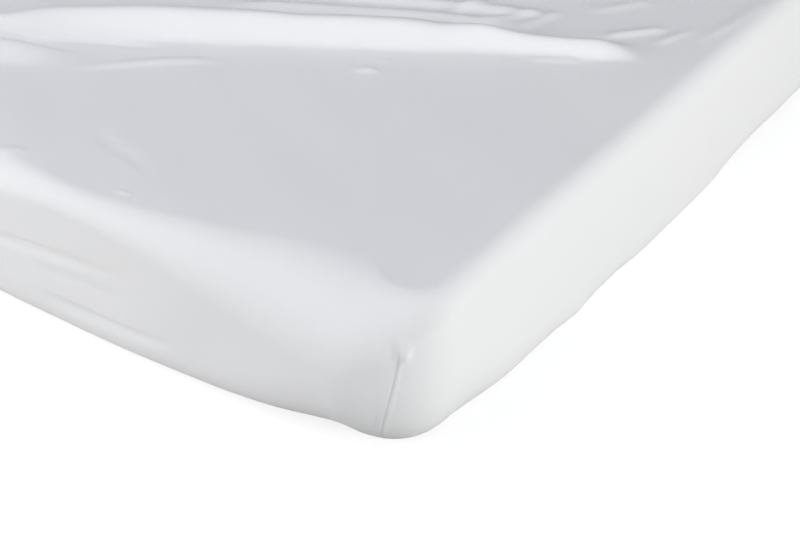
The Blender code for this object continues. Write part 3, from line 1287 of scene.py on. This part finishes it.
@dataclass
class Mattress:
    """The plain mattress inside the sheet, seen only from below through the hem's opening.

    Attributes:
        block: the sheet's outer form.
        inset: cloth and air between that form and the mattress.
    """

    block: SoftBlock
    inset: float = 0.0075

    # Cells of its grid across and along between the corners, at a corner, and down its rim.
    CELLS = (30, 70)
    CORNER = Closing(7, 0.8)
    ROWS = RimRows(roll=8, skirt=6, turn=8, tuck=0)

    def build(self) -> bpy.types.Object:
        """Makes the mattress: the drawn-in block's top and rim, closed by a flat underside.

        The underside is the top's grid again, taken out only to the bottom edge's tangent.

        Returns:
            The finished piece.
        """
        block = self.block.drawn_in(self.inset)
        core_x, core_y = block.half_x - block.corner, block.half_y - block.corner
        corner_x, corner_y = self.CORNER.lines(core_x, block.half_x), self.CORNER.lines(core_y, block.half_y)
        across, along = self.CELLS
        lines_x = np.concatenate([-corner_x[::-1], np.linspace(-core_x, core_x, across + 1), corner_x])
        lines_y = np.concatenate([-corner_y[::-1], np.linspace(-core_y, core_y, along + 1), corner_y])
        surface = PanelWithRim(block, lines_x, lines_y, self.ROWS)
        x, y = np.meshgrid(lines_x, lines_y, indexing="ij")
        core, out, share = block.around(x, y)
        _, bottom, _ = block.edges(core, out)
        plan = core + out * (share * (block.corner - bottom))[..., None]
        under = np.dstack([plan, np.full(x.shape, block.low)])

        cells = len(lines_x) - 1, len(lines_y) - 1
        grid, rings = numbered(*cells, surface.rows.total, 0)
        base = int(rings.max()) + 1 + np.arange(grid.size).reshape(grid.shape)
        base[rim_loop(*cells)] = rings[-1]
        faces = np.vstack([grid_quads(grid), ring_quads(rings), grid_quads(base)[:, ::-1]])
        points = np.vstack([part.reshape(-1, 3) for part in (surface.top, surface.rim, under)])
        flat = np.vstack([part.reshape(-1, 2) for part in (surface.top_flat, surface.rim_flat, plan)])
        used, faces = np.unique(faces, return_inverse=True)
        return mesh_object("mattress_body", points[used], faces.reshape(-1, 4).tolist(), flat[used])

    def dress(self, piece: bpy.types.Object, material: bpy.types.Material) -> None:
        """Gives the mattress its cover, hangs it under the root body and hides the frame's own mattress part.

        Args:
            piece: the mattress.
            material: its cover.
        """
        piece.data.materials.append(material)
        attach(piece, BODY)
        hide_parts("mattress")


# ---- studio -----------------------------------------------------------------------------------
@dataclass(frozen=True)
class SoftLight:
    """A large square lamp that faces the object.

    Attributes:
        name: the lamp's name.
        azimuth, elevation: direction from the object to the lamp, in degrees from +X and
            from the floor.
        power: watts.
        colour: its colour.
        size: side of the square.
        distance: how far away it stands.
    """

    name: str
    azimuth: float
    elevation: float
    power: float
    colour: tuple[float, float, float]
    size: float = 3.0
    distance: float = 5.0

    def hang(self, target: Vector) -> None:
        """Adds the lamp and turns it to the target.

        Args:
            target: the place that it faces.
        """
        data = bpy.data.lights.new(self.name, "AREA")
        data.shape = "SQUARE"
        data.size = self.size
        data.energy = self.power
        data.color = self.colour
        lamp = bpy.data.objects.new(self.name, data)
        round_, up = np.radians(self.azimuth), np.radians(self.elevation)
        away = Vector((np.cos(round_) * np.cos(up), np.sin(round_) * np.cos(up), np.sin(up)))
        lamp.location = target + away * self.distance
        lamp.rotation_euler = away.to_track_quat("Z", "Y").to_euler()
        bpy.context.scene.collection.objects.link(lamp)


@dataclass
class Studio:
    """Floor, world, lamps and camera.

    Attributes:
        corner: the sharp near corner of the object, on the floor.
        height: the object's height, which the camera's distance is given in.
        azimuth, elevation: the camera's direction from the object, in degrees.
        lens: focal length in millimetres, on a sensor 36 mm wide.
        stand: the camera's place from that corner, in heights of the object.
        lamps, aim: the lamps, and the place from that corner that they face.
        dome: strength of the light from all round.
        floor_size, floor_colour: side of the floor, and its colour.
        floor_glow: the glow that keeps the floor white to the camera.
    """

    corner: Vector
    height: float
    azimuth: float = 34.59
    elevation: float = 33.94
    lens: float = 70.02
    stand: tuple[float, float, float] = (3.53, -5.17, 5.62)
    lamps: tuple[SoftLight, ...] = (
        SoftLight("right window", 0.0, 8.0, 262.0, (1.0, 0.991, 0.966)),
        SoftLight("left window", -130.0, 8.0, 244.0, (1.0, 0.983, 0.967)),
        SoftLight("skylight", 180.0, 68.0, 100.0, (0.955, 0.951, 1.0)),
        SoftLight("high window", -60.0, 68.0, 22.0, (0.577, 0.757, 1.0)),
    )
    aim: tuple[float, float, float] = (-0.3, 0.4, 0.1)
    dome: float = 0.06
    floor_size: float = 14.0
    floor_colour: tuple[float, float, float] = (0.45, 0.45, 0.445)
    floor_glow: float = 0.72

    def set_up(self) -> None:
        """Adds everything that isn't the object."""
        self._floor()
        self._world()
        for lamp in self.lamps:
            lamp.hang(self.corner + Vector(self.aim))
        self._camera()
        bpy.context.scene.view_settings.view_transform = "Standard"

    def _floor(self) -> None:
        """A white floor that glows a little to the camera, so that it stays white."""
        half = self.floor_size / 2
        corners = [(-half, -half, 0.0), (half, -half, 0.0), (half, half, 0.0), (-half, half, 0.0)]
        mesh = bpy.data.meshes.new("floor")
        mesh.from_pydata(corners, [], [(0, 1, 2, 3)])
        floor = bpy.data.objects.new("floor", mesh)
        bpy.context.scene.collection.objects.link(floor)
        material = bpy.data.materials.new("white floor")
        material.use_nodes = True
        graph = Graph(material.node_tree)
        shader = material.node_tree.nodes["Principled BSDF"]
        shader.inputs["Base Color"].default_value = (*self.floor_colour, 1.0)
        shader.inputs["Roughness"].default_value = 0.9
        shader.inputs["Specular IOR Level"].default_value = 0.0
        shader.inputs["Emission Color"].default_value = (1.0, 1.0, 1.0, 1.0)
        seen = graph.add("ShaderNodeLightPath").outputs["Is Camera Ray"]
        glow = graph.math("MULTIPLY", seen, self.floor_glow)
        material.node_tree.links.new(glow, shader.inputs["Emission Strength"])
        mesh.materials.append(material)

    def _world(self) -> None:
        """A soft dome of light that looks white to the camera."""
        world = bpy.data.worlds.new("soft dome")
        world.use_nodes = True
        tree = world.node_tree
        tree.nodes.clear()
        graph = Graph(tree)
        white = (1.0, 1.0, 1.0, 1.0)
        dome = graph.add("ShaderNodeBackground", {"Color": white, "Strength": self.dome})
        seen = graph.add("ShaderNodeBackground", {"Color": white, "Strength": 1.0})
        ray = graph.add("ShaderNodeLightPath").outputs["Is Camera Ray"]
        mixed = graph.add("ShaderNodeMixShader", {0: ray, 1: dome.outputs[0], 2: seen.outputs[0]})
        graph.add("ShaderNodeOutputWorld", {"Surface": mixed.outputs[0]})
        bpy.context.scene.world = world

    def _camera(self) -> None:
        """A camera at its stand, looking along its azimuth and elevation."""
        round_, up = np.radians(self.azimuth), np.radians(self.elevation)
        back = Vector((np.sin(round_) * np.cos(up), -np.cos(round_) * np.cos(up), np.sin(up)))
        data = bpy.data.cameras.new("camera")
        data.lens = self.lens
        data.sensor_width = 36.0
        camera = bpy.data.objects.new("camera", data)
        camera.location = self.corner + Vector(self.stand) * self.height
        camera.rotation_euler = back.to_track_quat("Z", "Y").to_euler()
        bpy.context.scene.collection.objects.link(camera)
        bpy.context.scene.camera = camera


# ---- all of it ----------------------------------------------------------------------------------
def outer_block(cover: float = 0.004) -> SoftBlock:
    """The sheet's outer form, read from the mattress that the frame holds.

    Args:
        cover: cloth and air round the mattress, which lies this far off the floor.

    Returns:
        The block.
    """
    low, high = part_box("mattress")
    return SoftBlock(half_x=high[0] + cover, half_y=high[1] + cover, low=low[2] - cover, high=high[2] + cover)


def main() -> None:
    """Builds the sheet and the mattress, dresses them, and sets up the studio."""
    logging.basicConfig(level=logging.INFO, format="%(name)s: %(message)s")
    block = outer_block()
    Studio(Vector((block.half_x, -block.half_y, block.low)), block.high).set_up()
    structure, tone = loop_structure_group(), slow_tone_group()
    mattress = Mattress(block)
    body = mattress.build()
    mattress.dress(body, COVER.material(structure, tone))
    LOG.info("%s has %d faces", body.name, len(body.data.polygons))
    sheet = FittedSheet(block)
    cloth = sheet.build()
    sheet.dress(cloth, JERSEY.material(structure, tone))
    LOG.info("%s has %d faces", cloth.name, len(cloth.data.polygons))


if __name__ == "__main__":
    main()
